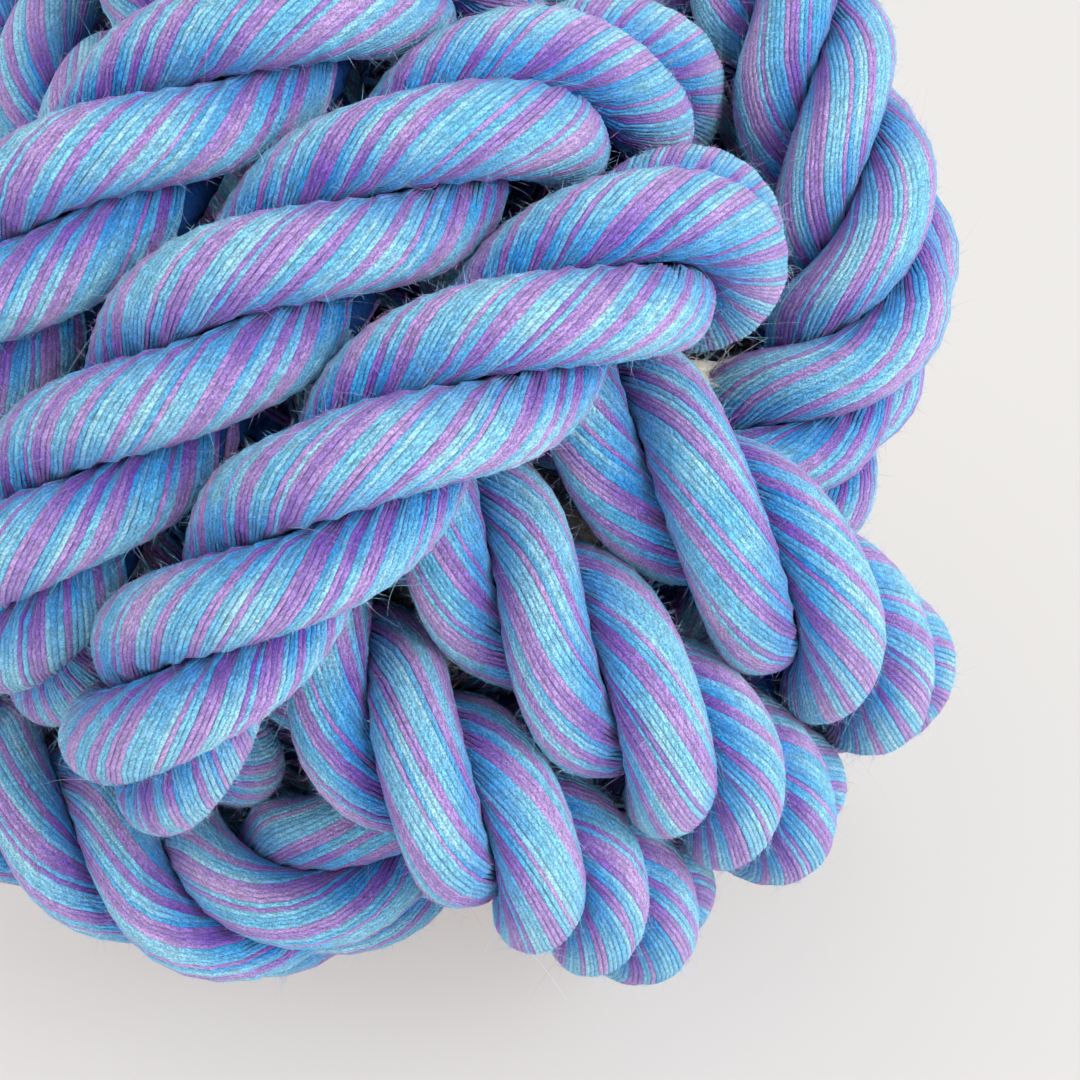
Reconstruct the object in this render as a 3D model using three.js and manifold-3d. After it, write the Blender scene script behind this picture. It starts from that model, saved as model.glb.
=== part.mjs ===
// Rope ball for a dog: one length of soft three-strand cotton rope, tied as a monkey's fist round a
// ball of undyed cotton. Three bands of rope go round the ball at right angles, and each band lies over
// one of the others and under the third. Both ends of the rope are bound with twine and tucked into the
// middle. The ball rests on one of its corners, on three turns of rope.
// Millimetres, +Z up. The origin is on the floor, under the middle of the ball. The front faces -Y.
import * as THREE from "three";
import { mergeVertices } from "three/addons/utils/BufferGeometryUtils.js";
import Module from "manifold-3d";

// The rope
const ROPE = 16; // diameter over the crowns of its strands
const STRAND = 8.5; // diameter of one strand
const STRANDS = 3;
const LAY = 46.3; // rope in which a strand goes once round
const TIGHT_LAY = 35.44; // the same for the later part of the rope, which the tying twisted tighter
const TIGHT_FROM = 0.4341; // share of the rope's length where the lay begins to change
const TIGHT_OVER = 0.0804; // share in which it changes
const LAY_START = -19.5; // degrees that the strands are turned at the rope's start
const STRAND_GAP = 0.6; // air between two strands

// The knot
const TURNS = 3; // turns of rope in a band
const TURN_GAP = 0.5; // air between two turns
const CORE = 54; // diameter of the ball in the middle
const CORE_GAP = 0.5; // air between the core and what touches it
const FLAT = 1.6; // depth of the flats that the ball rests on

// The twine round each end of the rope
const TWINE = 1.2; // thickness
const WHIPPING = 6; // length bound
const END = 2; // rope that stands out of the binding
const TWINE_GAP = 0.3; // air between rope and twine

// How the ball lies: about this corner is down, and the band that faces the front is turned a little
const CORNER_DOWN = new THREE.Vector3(1, -1, -1);
const ROLL_STEPS = 600;
const ROLL = 0.01; // radians of the first and longest step
const FRONT_BAND = new THREE.Vector3(0, 0, 1);
const FRONT_TURN = 13; // degrees

// The loosely tied knot, which is then pulled tight
const LOOSE_RING = (TURNS / 2 + 1.5) * ROPE; // radius of a band
const LOOSE_LIFT = 1.3 * ROPE; // from under a band to over the next
const LOOSE_PITCH = 1.12 * ROPE;
const WAYPOINT = 15; // degrees of a turn from one waypoint to the next
const FIRST_START = 30; // degrees at which the first band leaves its tuck
const BAND_START = 38; // degrees at which a later band comes out of its corner
const BAND_END = 8; // degrees past its last top at which a band goes into its corner
const LAST_END = 60; // the same for the last band, which goes into its tuck
const STEP_ACROSS = 40; // degrees before and after a full turn in which the rope steps to the next
const DISH = 0.6; // how far a band's outer turns lie lower than its middle one
const POINTS = 264 * TURNS; // points of rope while the knot is pulled tight
const ROUNDS = 400;
const PASSES = 4; // pushes in a round
const REFRESH = 10; // rounds from one search for near turns to the next
const NEAR = 1.5 * ROPE; // reach of that search
const FADE_FROM = 0.6; // share of the rounds after which the pull fades
const FADE_TO = 0.95; // share of the rounds after which it is gone
const PULL = 0.25; // share of the way to the middle of two neighbours in a round
const PUSH = 0.45; // share of an overlap that is undone in a pass
const CROWD = 0.35; // how far several pushes on one point share the way
const BEND = 1.75 * ROPE; // rope nearer than this along itself is one bend, not two turns
const CLING = 0.5; // share of the way that two turns side by side draw together in a round
const CLING_REACH = 1.3 * ROPE;
const SMOOTHINGS = 3; // times that the moves of clinging turns are smoothed
const SIDE_BY_SIDE = Math.cos(THREE.MathUtils.degToRad(16));
const TAIL = 3 * ROPE; // end of the rope that may lie inside the core

// Facets
const STRAND_STEP = 5.6; // rope from one ring of a strand's points to the next
const CROWN = THREE.MathUtils.degToRad(36); // half the angle of the flat on a strand's crown
const ROUND = 1.05; // vertices stand out by this, so that the facets keep the strand's size
const CORE_DETAIL = 3;
const RING_SIDES = 16; // sides of a whipping and of its socket
const WHIPPING_STEPS = 3;
const SOCKET_STEPS = 10;

const wasm = await Module();
wasm.setup();

function toSolid(geometry) {
  const bare = geometry.clone();
  bare.deleteAttribute("normal");
  bare.deleteAttribute("uv");
  const merged = mergeVertices(bare, 1e-4);
  return new wasm.Manifold(
    new wasm.Mesh({
      numProp: 3,
      vertProperties: new Float32Array(merged.attributes.position.array),
      triVerts: new Uint32Array(merged.index.array),
    }),
  );
}

function toGeometry(solid) {
  const mesh = solid.getMesh();
  const geometry = new THREE.BufferGeometry();
  geometry.setAttribute("position", new THREE.BufferAttribute(mesh.vertProperties, 3));
  geometry.setIndex(new THREE.BufferAttribute(mesh.triVerts, 1));
  return geometry;
}

const cut = (geometry, ...tools) =>
  toGeometry(tools.reduce((solid, tool) => solid.subtract(toSolid(tool)), toSolid(geometry)));

// From one band of the knot to the next, which lies under it
const nextBand = (p) => new THREE.Vector3(p.z, -p.x, -p.y);

// The first band goes round the x axis: over the others at the top and bottom, under them at the sides.
// It steps from turn to turn at one side. A band that isn't first starts on top, and one that isn't last
// ends on top, where the rope turns a corner into the next band.
function looseBand(isFirst, isLast) {
  const lastTop = 270 + 360 * (TURNS - 1);
  const from = isFirst ? FIRST_START : BAND_START;
  const to = lastTop + (isLast ? LAST_END : BAND_END);
  const points = [];
  for (let angle = from; angle <= to; angle += WAYPOINT) {
    let turn = (1 - TURNS) / 2;
    for (let step = 1; step < TURNS; step++)
      turn += THREE.MathUtils.smoothstep(angle, 360 * step - STEP_ACROSS, 360 * step + STEP_ACROSS);
    const across = turn * LOOSE_PITCH;
    const a = THREE.MathUtils.degToRad(angle);
    const over = -Math.cos(2 * a);
    const onTop = (!isFirst && angle < 90) || (!isLast && angle > lastTop);
    const weave = onTop ? 1 : (over * (3 - over * over)) / 2;
    const out = LOOSE_RING + (LOOSE_LIFT / 2) * weave;
    const radius = Math.sqrt(out * out - (DISH * across) ** 2);
    points.push(new THREE.Vector3(across, radius * Math.cos(a), radius * Math.sin(a)));
  }
  return points;
}

// The rope's first end, from inside the core to the first band, in shares of the core's radius
const TUCK = [
  [-0.35, 0, -0.45],
  [-0.55, 0.38, -0.05],
  [-0.62, 0.8, 0.3],
].map(([x, y, z]) => new THREE.Vector3(x, y, z).multiplyScalar(CORE / 2));

function looseKnot() {
  const tuckOut = TUCK.map((p) => new THREE.Vector3(-p.x, p.y, -p.z)).reverse();
  const first = [...TUCK, ...looseBand(true, false)];
  const second = looseBand(false, false).map(nextBand);
  const third = [...looseBand(false, true), ...tuckOut].map(nextBand).map(nextBand);
  return [...first, ...second, ...third];
}

// A smooth curve through points, measured finely enough for even steps
function curveThrough(points) {
  const curve = new THREE.CatmullRomCurve3(points);
  curve.arcLengthDivisions = 16 * points.length;
  return curve;
}

// Pairs of points nearer than reach that lie on two stretches of the rope
function nearPairs(points, reach, bend) {
  const pairs = [];
  for (let i = 0; i < points.length; i++)
    for (let j = i + bend + 1; j < points.length; j++)
      if (points[i].distanceToSquared(points[j]) < reach * reach) pairs.push([i, j]);
  return pairs;
}

// Moves the points of every pair apart to one rope and a gap, and all but the tails out of the core
function pushApart(points, pairs, tail) {
  const apart = ROPE + TURN_GAP;
  const floor = CORE / 2 + CORE_GAP + ROPE / 2;
  const moves = points.map(() => new THREE.Vector3());
  const hits = points.map(() => 0);
  const between = new THREE.Vector3();
  for (const [i, j] of pairs) {
    const length = between.subVectors(points[i], points[j]).length();
    if (length >= apart) continue;
    between.multiplyScalar((apart - length) / length / 2);
    moves[i].add(between);
    moves[j].sub(between);
    hits[i]++;
    hits[j]++;
  }
  points.forEach((point, i) => {
    point.addScaledVector(moves[i], PUSH / Math.max(1, CROWD * hits[i]));
    const out = point.length();
    const isTail = i < tail || i >= points.length - tail;
    if (!isTail && out < floor) point.multiplyScalar(1 + (floor / out - 1) / 2);
  });
}

function tangentsOf(points) {
  const last = points.length - 1;
  return points.map((_, i) =>
    points[Math.min(i + 1, last)].clone().sub(points[Math.max(i - 1, 0)]).normalize(),
  );
}

// Draws two turns that run side by side together, as soft rope clings. Each move is smoothed along the
// rope, so that it makes no kink.
function cling(points, pairs, tangents, share) {
  const apart = ROPE + TURN_GAP;
  let moves = points.map(() => new THREE.Vector3());
  const hits = points.map(() => 0);
  const between = new THREE.Vector3();
  for (const [i, j] of pairs) {
    if (Math.abs(tangents[i].dot(tangents[j])) < SIDE_BY_SIDE) continue;
    const length = between.subVectors(points[i], points[j]).projectOnPlane(tangents[i]).length();
    if (length < apart || length > CLING_REACH) continue;
    between.multiplyScalar((length - apart) / length / 2);
    moves[i].sub(between);
    moves[j].add(between);
    hits[i]++;
    hits[j]++;
  }
  moves.forEach((move, i) => move.divideScalar(Math.max(1, hits[i])));
  for (let smoothing = 0; smoothing < SMOOTHINGS; smoothing++)
    moves = moves.map((move, i) =>
      i === 0 || i === moves.length - 1
        ? move
        : moves[i - 1].clone().add(moves[i + 1]).addScaledVector(move, 2).multiplyScalar(0.25),
    );
  points.forEach((point, i) => point.addScaledVector(moves[i], share));
}

// Pulls the rope short, round by round, while its turns and the core push back. The pull fades out.
function pullTight(loose) {
  const curve = curveThrough(loose);
  const points = curve.getSpacedPoints(POINTS - 1);
  const spacing = curve.getLength() / (POINTS - 1);
  const bend = Math.round(BEND / spacing);
  const tail = Math.round(TAIL / spacing);
  let pairs = [];
  for (let round = 0; round < ROUNDS; round++) {
    const faded = (round / ROUNDS - FADE_FROM) / (FADE_TO - FADE_FROM);
    const pull = 1 - THREE.MathUtils.clamp(faded, 0, 1);
    const middles = points.map((p, i) =>
      i === 0 || i === POINTS - 1
        ? p.clone()
        : points[i - 1].clone().add(points[i + 1]).multiplyScalar(0.5),
    );
    points.forEach((p, i) => p.lerp(middles[i], PULL * pull));
    if (round % REFRESH === 0) pairs = nearPairs(points, NEAR, bend);
    const tangents = tangentsOf(points);
    for (let pass = 0; pass < PASSES; pass++) pushApart(points, pairs, tail);
    cling(points, pairs, tangents, CLING * pull);
  }
  const least = Math.min(
    ...nearPairs(points, NEAR, bend).map(([i, j]) => points[i].distanceTo(points[j])),
  );
  console.log(`least gap of the rope to itself: ${(least - ROPE).toFixed(2)} mm`);
  return points;
}

// Rolls the knot from its corner until it rests on three turns of rope: each step, shorter than the one
// before, tips it away from its lowest point. Gives the direction that is then down.
function rollToRest(points) {
  const down = CORNER_DOWN.clone().normalize();
  const middle = new THREE.Vector3();
  points.forEach((p) => middle.addScaledVector(p, 1 / points.length));
  for (let step = 0; step < ROLL_STEPS; step++) {
    const depths = points.map((p) => p.dot(down));
    const lowest = points[depths.indexOf(Math.max(...depths))];
    const aside = lowest.clone().sub(middle).projectOnPlane(down);
    down.sub(aside.setLength(ROLL * (1 - step / ROLL_STEPS) ** 2)).normalize();
  }
  return down;
}

// Turns the knot so that it rests and its front band faces the front
function layDown(points) {
  const up = rollToRest(points).negate();
  const front = FRONT_BAND.clone().projectOnPlane(up).normalize();
  front.applyAxisAngle(up, THREE.MathUtils.degToRad(FRONT_TURN));
  const back = front.negate();
  const right = new THREE.Vector3().crossVectors(back, up);
  const turn = new THREE.Matrix4().makeBasis(right, back, up).transpose();
  points.forEach((p) => p.applyMatrix4(turn));
  return points;
}

// One strand's section beside the rope's axis: a round lobe, cut by the two flat sides that face the
// other strands. From the point near the axis it goes round the lobe.
function strandSection() {
  const side = Math.PI / STRANDS;
  const lobe = STRAND / 2;
  const offset = ROPE / 2 - lobe;
  const chord = Math.sqrt(lobe ** 2 - (offset * Math.sin(side) - STRAND_GAP / 2) ** 2);
  const flank = offset * Math.cos(side) + chord;
  const flankX = flank * Math.cos(side) + (STRAND_GAP / 2) * Math.sin(side);
  const flankY = flank * Math.sin(side) - (STRAND_GAP / 2) * Math.cos(side);
  const crownX = offset + ROUND * lobe * Math.cos(CROWN);
  const crownY = ROUND * lobe * Math.sin(CROWN);
  return [
    [STRAND_GAP / 2 / Math.sin(side), 0],
    [flankX, -flankY],
    [crownX, -crownY],
    [crownX, crownY],
    [flankX, flankY],
  ];
}

// Turn of a strand about the rope's axis, at a share of the rope's length. The lay changes evenly from one
// value to the other.
function strandTurn(share, length, number) {
  const change = THREE.MathUtils.clamp((share - TIGHT_FROM) / TIGHT_OVER, 0, 1);
  const tight = (TIGHT_OVER * change ** 2) / 2 + Math.max(0, share - TIGHT_FROM - TIGHT_OVER);
  const lays = ((share - tight) * length) / LAY + (tight * length) / TIGHT_LAY;
  return 2 * Math.PI * (lays + number / STRANDS) + THREE.MathUtils.degToRad(LAY_START);
}

// One strand from end to end of the rope. The flat sides of two neighbours are split along the same
// diagonals, so that they stay a gap apart.
function strandGeometry(path, number) {
  const section = strandSection();
  const sides = section.length;
  const length = path.getLength();
  const steps = Math.round(length / STRAND_STEP);
  const centres = path.getSpacedPoints(steps);
  const { normals, binormals } = path.computeFrenetFrames(steps);
  const positions = [];
  centres.forEach((centre, i) => {
    const turn = strandTurn(i / steps, length, number);
    for (const [x, y] of section) {
      const vertex = centre
        .clone()
        .addScaledVector(normals[i], x * Math.cos(turn) - y * Math.sin(turn))
        .addScaledVector(binormals[i], x * Math.sin(turn) + y * Math.cos(turn));
      positions.push(...vertex.toArray());
    }
  });
  const index = [];
  for (let i = 0; i < steps; i++)
    for (let j = 0; j < sides; j++) {
      const a = i * sides + j;
      const b = i * sides + ((j + 1) % sides);
      const [c, d] = [b + sides, a + sides];
      if (j === sides - 1) index.push(a, b, c, a, c, d);
      else index.push(a, b, d, b, c, d);
    }
  const last = steps * sides;
  for (let j = 1; j < sides - 1; j++) {
    index.push(0, j + 1, j);
    index.push(last, last + j, last + j + 1);
  }
  const geometry = new THREE.BufferGeometry();
  geometry.setAttribute("position", new THREE.Float32BufferAttribute(positions, 3));
  geometry.setIndex(index);
  return geometry;
}

// A point on the rope's axis, which runs on straight past both ends
function pointAlong(path, along) {
  const length = path.getLength();
  const inside = THREE.MathUtils.clamp(along, 0, length);
  const tangent = path.getTangentAt(inside / length);
  return path.getPointAt(inside / length).addScaledVector(tangent, along - inside);
}

// A ring or a rod along a stretch of the rope
function sleeve(path, from, to, inner, outer, steps) {
  const points = [];
  for (let i = 0; i <= steps; i++) points.push(pointAlong(path, from + ((to - from) * i) / steps));
  const shape = new THREE.Shape().absarc(0, 0, outer, 0, 2 * Math.PI);
  if (inner > 0) shape.holes.push(new THREE.Path().absarc(0, 0, inner, 0, 2 * Math.PI, true));
  return new THREE.ExtrudeGeometry(shape, {
    steps,
    curveSegments: RING_SIDES / 2,
    bevelEnabled: false,
    extrudePath: new THREE.CatmullRomCurve3(points),
  });
}

// The rope's path, lying on its corner, with its lowest turns cut into the floor by the flats
const tight = layDown(pullTight(looseKnot()));
const box = new THREE.Box3();
const numbers = [...Array(STRANDS).keys()];
for (const number of numbers)
  box.expandByObject(new THREE.Mesh(strandGeometry(curveThrough(tight), number)));
const toFloor = new THREE.Vector3(
  -(box.min.x + box.max.x) / 2,
  -(box.min.y + box.max.y) / 2,
  -box.min.z - FLAT,
);
tight.forEach((p) => p.add(toFloor));
const path = curveThrough(tight);
const ropeLength = path.getLength();
console.log(`length of the rope: ${ropeLength.toFixed(0)} mm`);

const extent = box.getSize(new THREE.Vector3());
const below = new THREE.BoxGeometry(2 * extent.x, 2 * extent.y, ROPE).translate(0, 0, -ROPE / 2);
const strands = numbers.map((number) => cut(strandGeometry(path, number), below));

// The whippings, each a short way in from its end of the rope
const bound = ROPE / 2 + TWINE_GAP;
const whippings = [
  ["start_whipping", END],
  ["end_whipping", ropeLength - END - WHIPPING],
].map(([name, from]) => [name, sleeve(path, from, from + WHIPPING, bound, bound + TWINE, WHIPPING_STEPS)]);

// The core, with a socket for each bound end
const socket = bound + TWINE + CORE_GAP;
const sockets = [
  sleeve(path, -CORE_GAP, TAIL, 0, socket, SOCKET_STEPS),
  sleeve(path, ropeLength - TAIL, ropeLength + CORE_GAP, 0, socket, SOCKET_STEPS),
];
const core = cut(
  new THREE.IcosahedronGeometry(CORE / 2, CORE_DETAIL).translate(...toFloor.toArray()),
  ...sockets,
);

const cotton = (color) => new THREE.MeshStandardMaterial({ color, roughness: 0.95, metalness: 0 });
const dyed = cotton("#7fb3dc");
const undyed = cotton("#e4d9c3");
const twine = cotton("#f0ece1");

const ball = new THREE.Group();
function add(name, geometry, material) {
  const mesh = new THREE.Mesh(geometry, material);
  mesh.name = name;
  ball.add(mesh);
}
strands.forEach((geometry, i) => add(`strand_${i + 1}`, geometry, dyed));
add("core_ball", core, undyed);
whippings.forEach(([name, geometry]) => add(name, geometry, twine));

export default ball;
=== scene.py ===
# %% [markdown]
# # A rope ball for a dog
#
# The real object is one length of soft three-strand cotton rope, tied as a monkey's fist round a wad of
# undyed cotton. Each strand is a bundle of blue and purple yarns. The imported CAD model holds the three
# strands as plain faceted solids. This lesson builds what the eye sees of them: every yarn as a thread, and
# the fibres that stand out of the yarns.

import bpy
import numpy as np
from mathutils import Matrix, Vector
from numpy.linalg import norm


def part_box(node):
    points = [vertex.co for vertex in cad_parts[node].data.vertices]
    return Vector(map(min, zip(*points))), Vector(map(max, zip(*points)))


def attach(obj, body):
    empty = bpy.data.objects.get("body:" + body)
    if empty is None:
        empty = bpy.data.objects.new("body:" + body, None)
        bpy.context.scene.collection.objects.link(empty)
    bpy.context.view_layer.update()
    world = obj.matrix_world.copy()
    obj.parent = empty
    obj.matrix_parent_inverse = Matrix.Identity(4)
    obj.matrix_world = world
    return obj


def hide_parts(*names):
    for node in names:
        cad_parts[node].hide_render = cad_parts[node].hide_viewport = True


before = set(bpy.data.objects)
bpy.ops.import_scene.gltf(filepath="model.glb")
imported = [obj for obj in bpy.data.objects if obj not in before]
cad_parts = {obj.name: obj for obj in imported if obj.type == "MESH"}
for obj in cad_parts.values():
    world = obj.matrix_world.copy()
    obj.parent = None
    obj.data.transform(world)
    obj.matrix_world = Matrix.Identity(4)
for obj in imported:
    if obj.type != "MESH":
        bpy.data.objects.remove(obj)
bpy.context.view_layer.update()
MM = 0.001  # metres in a millimetre; all lengths below are in millimetres until a mesh is made
rng = np.random.default_rng(11)
scene = bpy.context.scene
print("CAD nodes:", sorted(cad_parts))

# %% [markdown]
# ## Camera
#
# The camera comes first, because everything else is compared through it. It looks down at the ball from
# the front. The picture cuts off the ball's left side, so the ball's middle stands left of the line of sight
# and above it.

# %% Camera
IMAGE = 1080  # pixels across the picture
FOCAL = 2265  # focal length in those pixels
SENSOR = 36  # its width in millimetres
AZIMUTH, ELEVATION, ROLL_ANGLE = np.radians([1.36, 34.9, 0.69])
BALL_MIDDLE = np.array([0, 0, 57.0])
BALL_IN_VIEW = np.array([-18.81, 15.08, -230.6])  # right, up and back from the camera


def unit(vectors):
    """Vectors at length 1, along the last axis."""
    return vectors / norm(vectors, axis=-1, keepdims=True)


def camera_axes():
    """Right, up and back axes of a camera that looks at the ball, rolled about its line of sight."""
    back = unit(np.array([np.sin(AZIMUTH), -np.cos(AZIMUTH), np.tan(ELEVATION)]))
    right = unit(np.cross([0, 0, 1], back))
    up = np.cross(back, right)
    cos, sin = np.cos(ROLL_ANGLE), np.sin(ROLL_ANGLE)
    return np.stack([cos * right + sin * up, cos * up - sin * right, back], axis=1)


def put(thing, axes, place):
    """Puts a camera or a lamp at a place in metres, with its right, up and back axes."""
    matrix = np.eye(4)
    matrix[:3, :3] = axes
    matrix[:3, 3] = place
    thing.matrix_world = Matrix(matrix.tolist())
    scene.collection.objects.link(thing)


camera = bpy.data.objects.new("camera", bpy.data.cameras.new("camera"))
camera.data.sensor_width = SENSOR
camera.data.lens = SENSOR * FOCAL / IMAGE
put(camera, camera_axes(), MM * (BALL_MIDDLE - camera_axes() @ BALL_IN_VIEW))
scene.camera = camera
print("camera at", np.array(camera.matrix_world.translation).round(3))

# %% [markdown]
# ## The knot
#
# A monkey's fist is three bands of rope at right angles, each over one of the others and under the third.
# Written as a formula alone, the turns would cut into each other or leave gaps. A hand ties it loosely and
# then works the slack out, and so it is here: the loose knot is a formula, and pulling it tight is a
# relaxation in which the rope shortens while its turns and the core push back. The CAD solids come from the
# same rules, so the threads below land on them.

# %% The loose knot
ROPE = 16.0  # diameter over the crowns of the strands
TURNS = 3  # in a band
CORE = 54.0  # diameter of the ball in the middle
LOOSE_RING = (TURNS / 2 + 1.5) * ROPE
LOOSE_LIFT = 1.3 * ROPE  # from under a band to over the next
LOOSE_PITCH = 1.12 * ROPE
WAYPOINT = 15  # degrees between waypoints
FIRST_START, BAND_START, BAND_END, LAST_END = 30, 38, 8, 60  # degrees at the ends of the bands
STEP_ACROSS = 40  # degrees before and after a full turn in which the rope steps to the next
DISH = 0.6  # how far a band's outer turns lie lower than its middle one
TUCK = CORE / 2 * np.array([[-0.35, 0, -0.45], [-0.55, 0.38, -0.05], [-0.62, 0.8, 0.3]])  # first end
STRETCH_STEPS = 16  # steps for each waypoint when a curve's length is measured


def smoothstep(x, low, high):
    """0 below low, 1 above high, and 3t² - 2t³ between them."""
    t = np.clip((x - low) / (high - low), 0, 1)
    return t * t * (3 - 2 * t)


def next_band(points):
    """The same points on the band that lies under this one: (x, y, z) goes to (z, -x, -y)."""
    return np.stack([points[:, 2], -points[:, 0], -points[:, 1]], axis=1)


def loose_band(is_first, is_last):
    """Turns about the x axis. Their radius swings between over and under as -cos of twice the angle, and a
    smooth step beside each full turn moves the rope across to the next turn."""
    last_top = 270 + 360 * (TURNS - 1)
    start = FIRST_START if is_first else BAND_START
    end = last_top + (LAST_END if is_last else BAND_END)
    angle = np.arange(start, end + 0.001, WAYPOINT)
    whole = [360 * n for n in range(1, TURNS)]
    steps = sum(smoothstep(angle, full - STEP_ACROSS, full + STEP_ACROSS) for full in whole)
    aside = LOOSE_PITCH * (steps + (1 - TURNS) / 2)
    turn = np.radians(angle)
    over = -np.cos(2 * turn)
    weave = over * (3 - over**2) / 2
    on_top = (angle < 90) & (not is_first) | (angle > last_top) & (not is_last)
    out = LOOSE_RING + LOOSE_LIFT / 2 * np.where(on_top, 1, weave)
    radius = np.sqrt(out**2 - (DISH * aside) ** 2)
    return np.stack([aside, radius * np.cos(turn), radius * np.sin(turn)], axis=1)


def loose_knot():
    """First end, three bands, last end. The last end is the first one's path turned about the y axis."""
    tuck_out = (TUCK * [-1, 1, -1])[::-1]
    first = np.vstack([TUCK, loose_band(True, False)])
    second = next_band(loose_band(False, False))
    third = next_band(next_band(np.vstack([loose_band(False, True), tuck_out])))
    return np.vstack([first, second, third])


def along_curve(points, shares):
    """Points at shares of the length of a smooth curve through points, and that length. The curve is a
    centripetal Catmull-Rom spline: each stretch is a cubic whose end slopes come from its neighbours."""
    padded = np.vstack([2 * points[0] - points[1], points, 2 * points[-1] - points[-2]])

    def at(t):
        stretch = t * (len(points) - 1)
        i = np.minimum(stretch.astype(int), len(points) - 2)
        w = (stretch - i)[:, None]
        p0, p1, p2, p3 = (padded[i + k] for k in range(4))
        pairs = ((p0, p1), (p1, p2), (p2, p3))
        d0, d1, d2 = (np.sqrt(norm(b - a, axis=1))[:, None] for a, b in pairs)
        slope1 = ((p1 - p0) / d0 - (p2 - p0) / (d0 + d1) + (p2 - p1) / d1) * d1
        slope2 = ((p2 - p1) / d1 - (p3 - p1) / (d1 + d2) + (p3 - p2) / d2) * d1
        square = 3 * (p2 - p1) - 2 * slope1 - slope2
        cube = 2 * (p1 - p2) + slope1 + slope2
        return p1 + slope1 * w + square * w**2 + cube * w**3

    t = np.linspace(0, 1, STRETCH_STEPS * len(points) + 1)
    length = np.r_[0, np.cumsum(norm(np.diff(at(t), axis=0), axis=1))]
    return at(np.interp(shares * length[-1], length, t)), length[-1]


print("waypoints of the loose knot:", len(loose_knot()))

# %% Pulling it tight
GAP = 0.5  # between two turns, and between rope and core
APART = ROPE + GAP  # between the axes of two turns that touch
POINTS = 264 * TURNS  # on the rope's axis
ROUNDS, PASSES = 400, 4  # rounds of pulling, and pushes apart in each
REFRESH = 10  # rounds after which near turns are searched anew
FADE_FROM, FADE_TO = 0.6, 0.95  # shares of the rounds between which the pull fades
PULL, PUSH = 0.25, 0.45  # shares of a full move that are made at once
CROWD = 0.35  # eases the push on a point that many others push
NEAR = 1.5 * ROPE  # reach of the search for near turns
BEND = 1.75 * ROPE  # rope nearer than this along itself is one bend
CLING, CLING_REACH, SMOOTHINGS = 0.5, 1.3 * ROPE, 3
SIDE_BY_SIDE = np.cos(np.radians(16))  # turns within this angle run side by side
TAIL = 3 * ROPE  # rope at each end that may lie inside the core


def across(vectors, ways):
    """The parts of vectors that are square to ways of length 1."""
    return vectors - np.sum(vectors * ways, axis=-1, keepdims=True) * ways


def near_pairs(points, bend):
    """Numbers i < j of points nearer than NEAR that lie on two stretches of the rope."""
    i, j = np.nonzero(norm(points[:, None] - points[None], axis=2) < NEAR)
    apart = j > i + bend
    return i[apart], j[apart]


def shared(i, j, moves):
    """Sum of the moves on each point, +move on i and -move on j, and how many there were."""
    hits = np.bincount(i, minlength=POINTS) + np.bincount(j, minlength=POINTS)
    total = [np.bincount(i, m, POINTS) - np.bincount(j, m, POINTS) for m in moves.T]
    return np.stack(total, axis=1), hits[:, None]


def push_apart(points, i, j, outside):
    """Moves near points apart to a rope and a gap, and points outside the tails out of the core."""
    lowest = CORE / 2 + GAP + ROPE / 2
    between = points[i] - points[j]
    gap = norm(between, axis=1)
    hit = gap < APART
    half = (between * ((APART - gap) / gap / 2)[:, None])[hit]
    move, hits = shared(i[hit], j[hit], half)
    points += PUSH * move / np.maximum(1, CROWD * hits)
    out = norm(points, axis=1)
    low = outside & (out < lowest)
    points[low] *= (1 + (lowest / out[low] - 1) / 2)[:, None]


def cling(points, i, j, tangents, share):
    """Draws turns that run side by side together. The moves are smoothed along the rope."""
    between = across(points[i] - points[j], tangents[i])
    gap = norm(between, axis=1)
    beside = np.abs(np.sum(tangents[i] * tangents[j], axis=1)) >= SIDE_BY_SIDE
    hit = beside & (gap >= APART) & (gap <= CLING_REACH)
    half = (between * ((gap - APART) / gap / 2)[:, None])[hit]
    move, hits = shared(i[hit], j[hit], -half)
    move /= np.maximum(1, hits)
    for _ in range(SMOOTHINGS):
        move[1:-1] = (move[:-2] + 2 * move[1:-1] + move[2:]) / 4
    points += share * move


def pull_tight(loose):
    """Round by round, each point goes a share of the way to the middle of its neighbours, which shortens
    the rope, and then overlaps are pushed apart."""
    points, length = along_curve(loose, np.linspace(0, 1, POINTS))
    spacing = length / (POINTS - 1)
    index = np.arange(POINTS)
    tail = round(TAIL / spacing)
    outside = (index >= tail) & (index < POINTS - tail)
    for n in range(ROUNDS):
        pull = 1 - np.clip((n / ROUNDS - FADE_FROM) / (FADE_TO - FADE_FROM), 0, 1)
        points[1:-1] += PULL * pull * ((points[:-2] + points[2:]) / 2 - points[1:-1])
        if n % REFRESH == 0:
            i, j = near_pairs(points, round(BEND / spacing))
        tangents = unit(points[np.minimum(index + 1, POINTS - 1)] - points[np.maximum(index - 1, 0)])
        for _ in range(PASSES):
            push_apart(points, i, j, outside)
        cling(points, i, j, tangents, CLING * pull)
    return points


tight = pull_tight(loose_knot())
print("tight knot, widest:", np.ptp(tight, axis=0).round(1), "mm between rope axes")

# %% [markdown]
# The ball lies on one corner of the knot, where three turns touch the floor. It is rolled there from the
# exact corner, always away from its lowest point, and then turned so that one band faces the front. The
# core's box in the CAD model says where the middle of the knot is.

# %% Laying it down
CORNER_DOWN = unit(np.array([1.0, -1.0, -1.0]))
ROLL_STEPS, ROLL = 600, 0.01  # steps of rolling, and the first one's size
FRONT_BAND = np.array([0, 0, 1.0])
FRONT_TURN = np.radians(13)  # by which the front band is turned aside


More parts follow.
